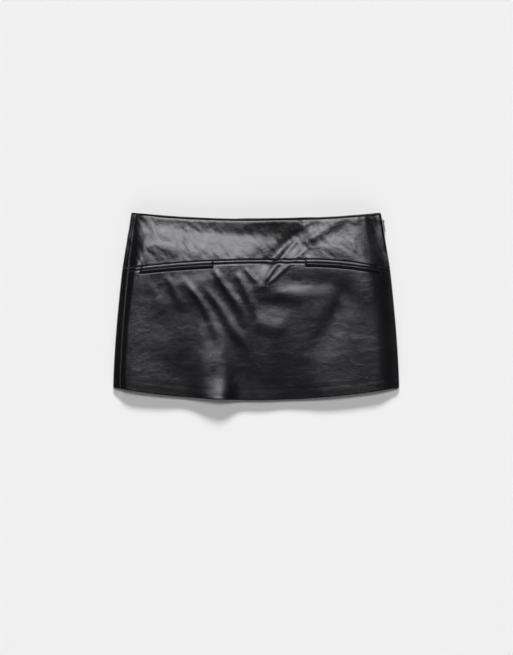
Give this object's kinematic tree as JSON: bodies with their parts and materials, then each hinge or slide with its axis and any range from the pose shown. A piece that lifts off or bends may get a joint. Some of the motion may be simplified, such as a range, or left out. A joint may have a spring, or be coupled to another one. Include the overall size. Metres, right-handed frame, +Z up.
{
  "type": "leather mini skirt",
  "caption": "Black leather mini skirt laid flat front up, with a shaped yoke, topstitched yoke seam, welt pockets and a closed side zip.",
  "frame": {"origin": "on the surface the skirt lies on, under the middle of the bounding box", "axes": "+X across the front to the side with the zip, +Y from hem to waist, +Z up from the surface, away from the back and out of the front"},
  "size_m": [0.4575, 0.301, 0.0214],
  "materials": {
    "leather": "smooth black nappa leather, semi-gloss, fine grain",
    "welt_leather": "smooth black nappa leather, folded and pressed, semi-gloss",
    "zip_metal": "black enamelled metal, glossy"
  },
  "bodies": {
    "skirt": {"front_yoke": "leather", "front_panel": "leather", "back_yoke": "leather", "back_panel": "leather", "left_upper_lip": "welt_leather", "left_lower_lip": "welt_leather", "right_upper_lip": "welt_leather", "right_lower_lip": "welt_leather", "zip_slider": "zip_metal"},
    "pull": {"zip_pull": "zip_metal"}
  },
  "joints": [
    {"name": "pull_swing", "type": "hinge", "parent": "skirt", "child": "pull", "pos_m": [0.20389, 0.13676, 0.0038], "axis": [0, 0, 1], "range_deg": [0, 150]}
  ]
}
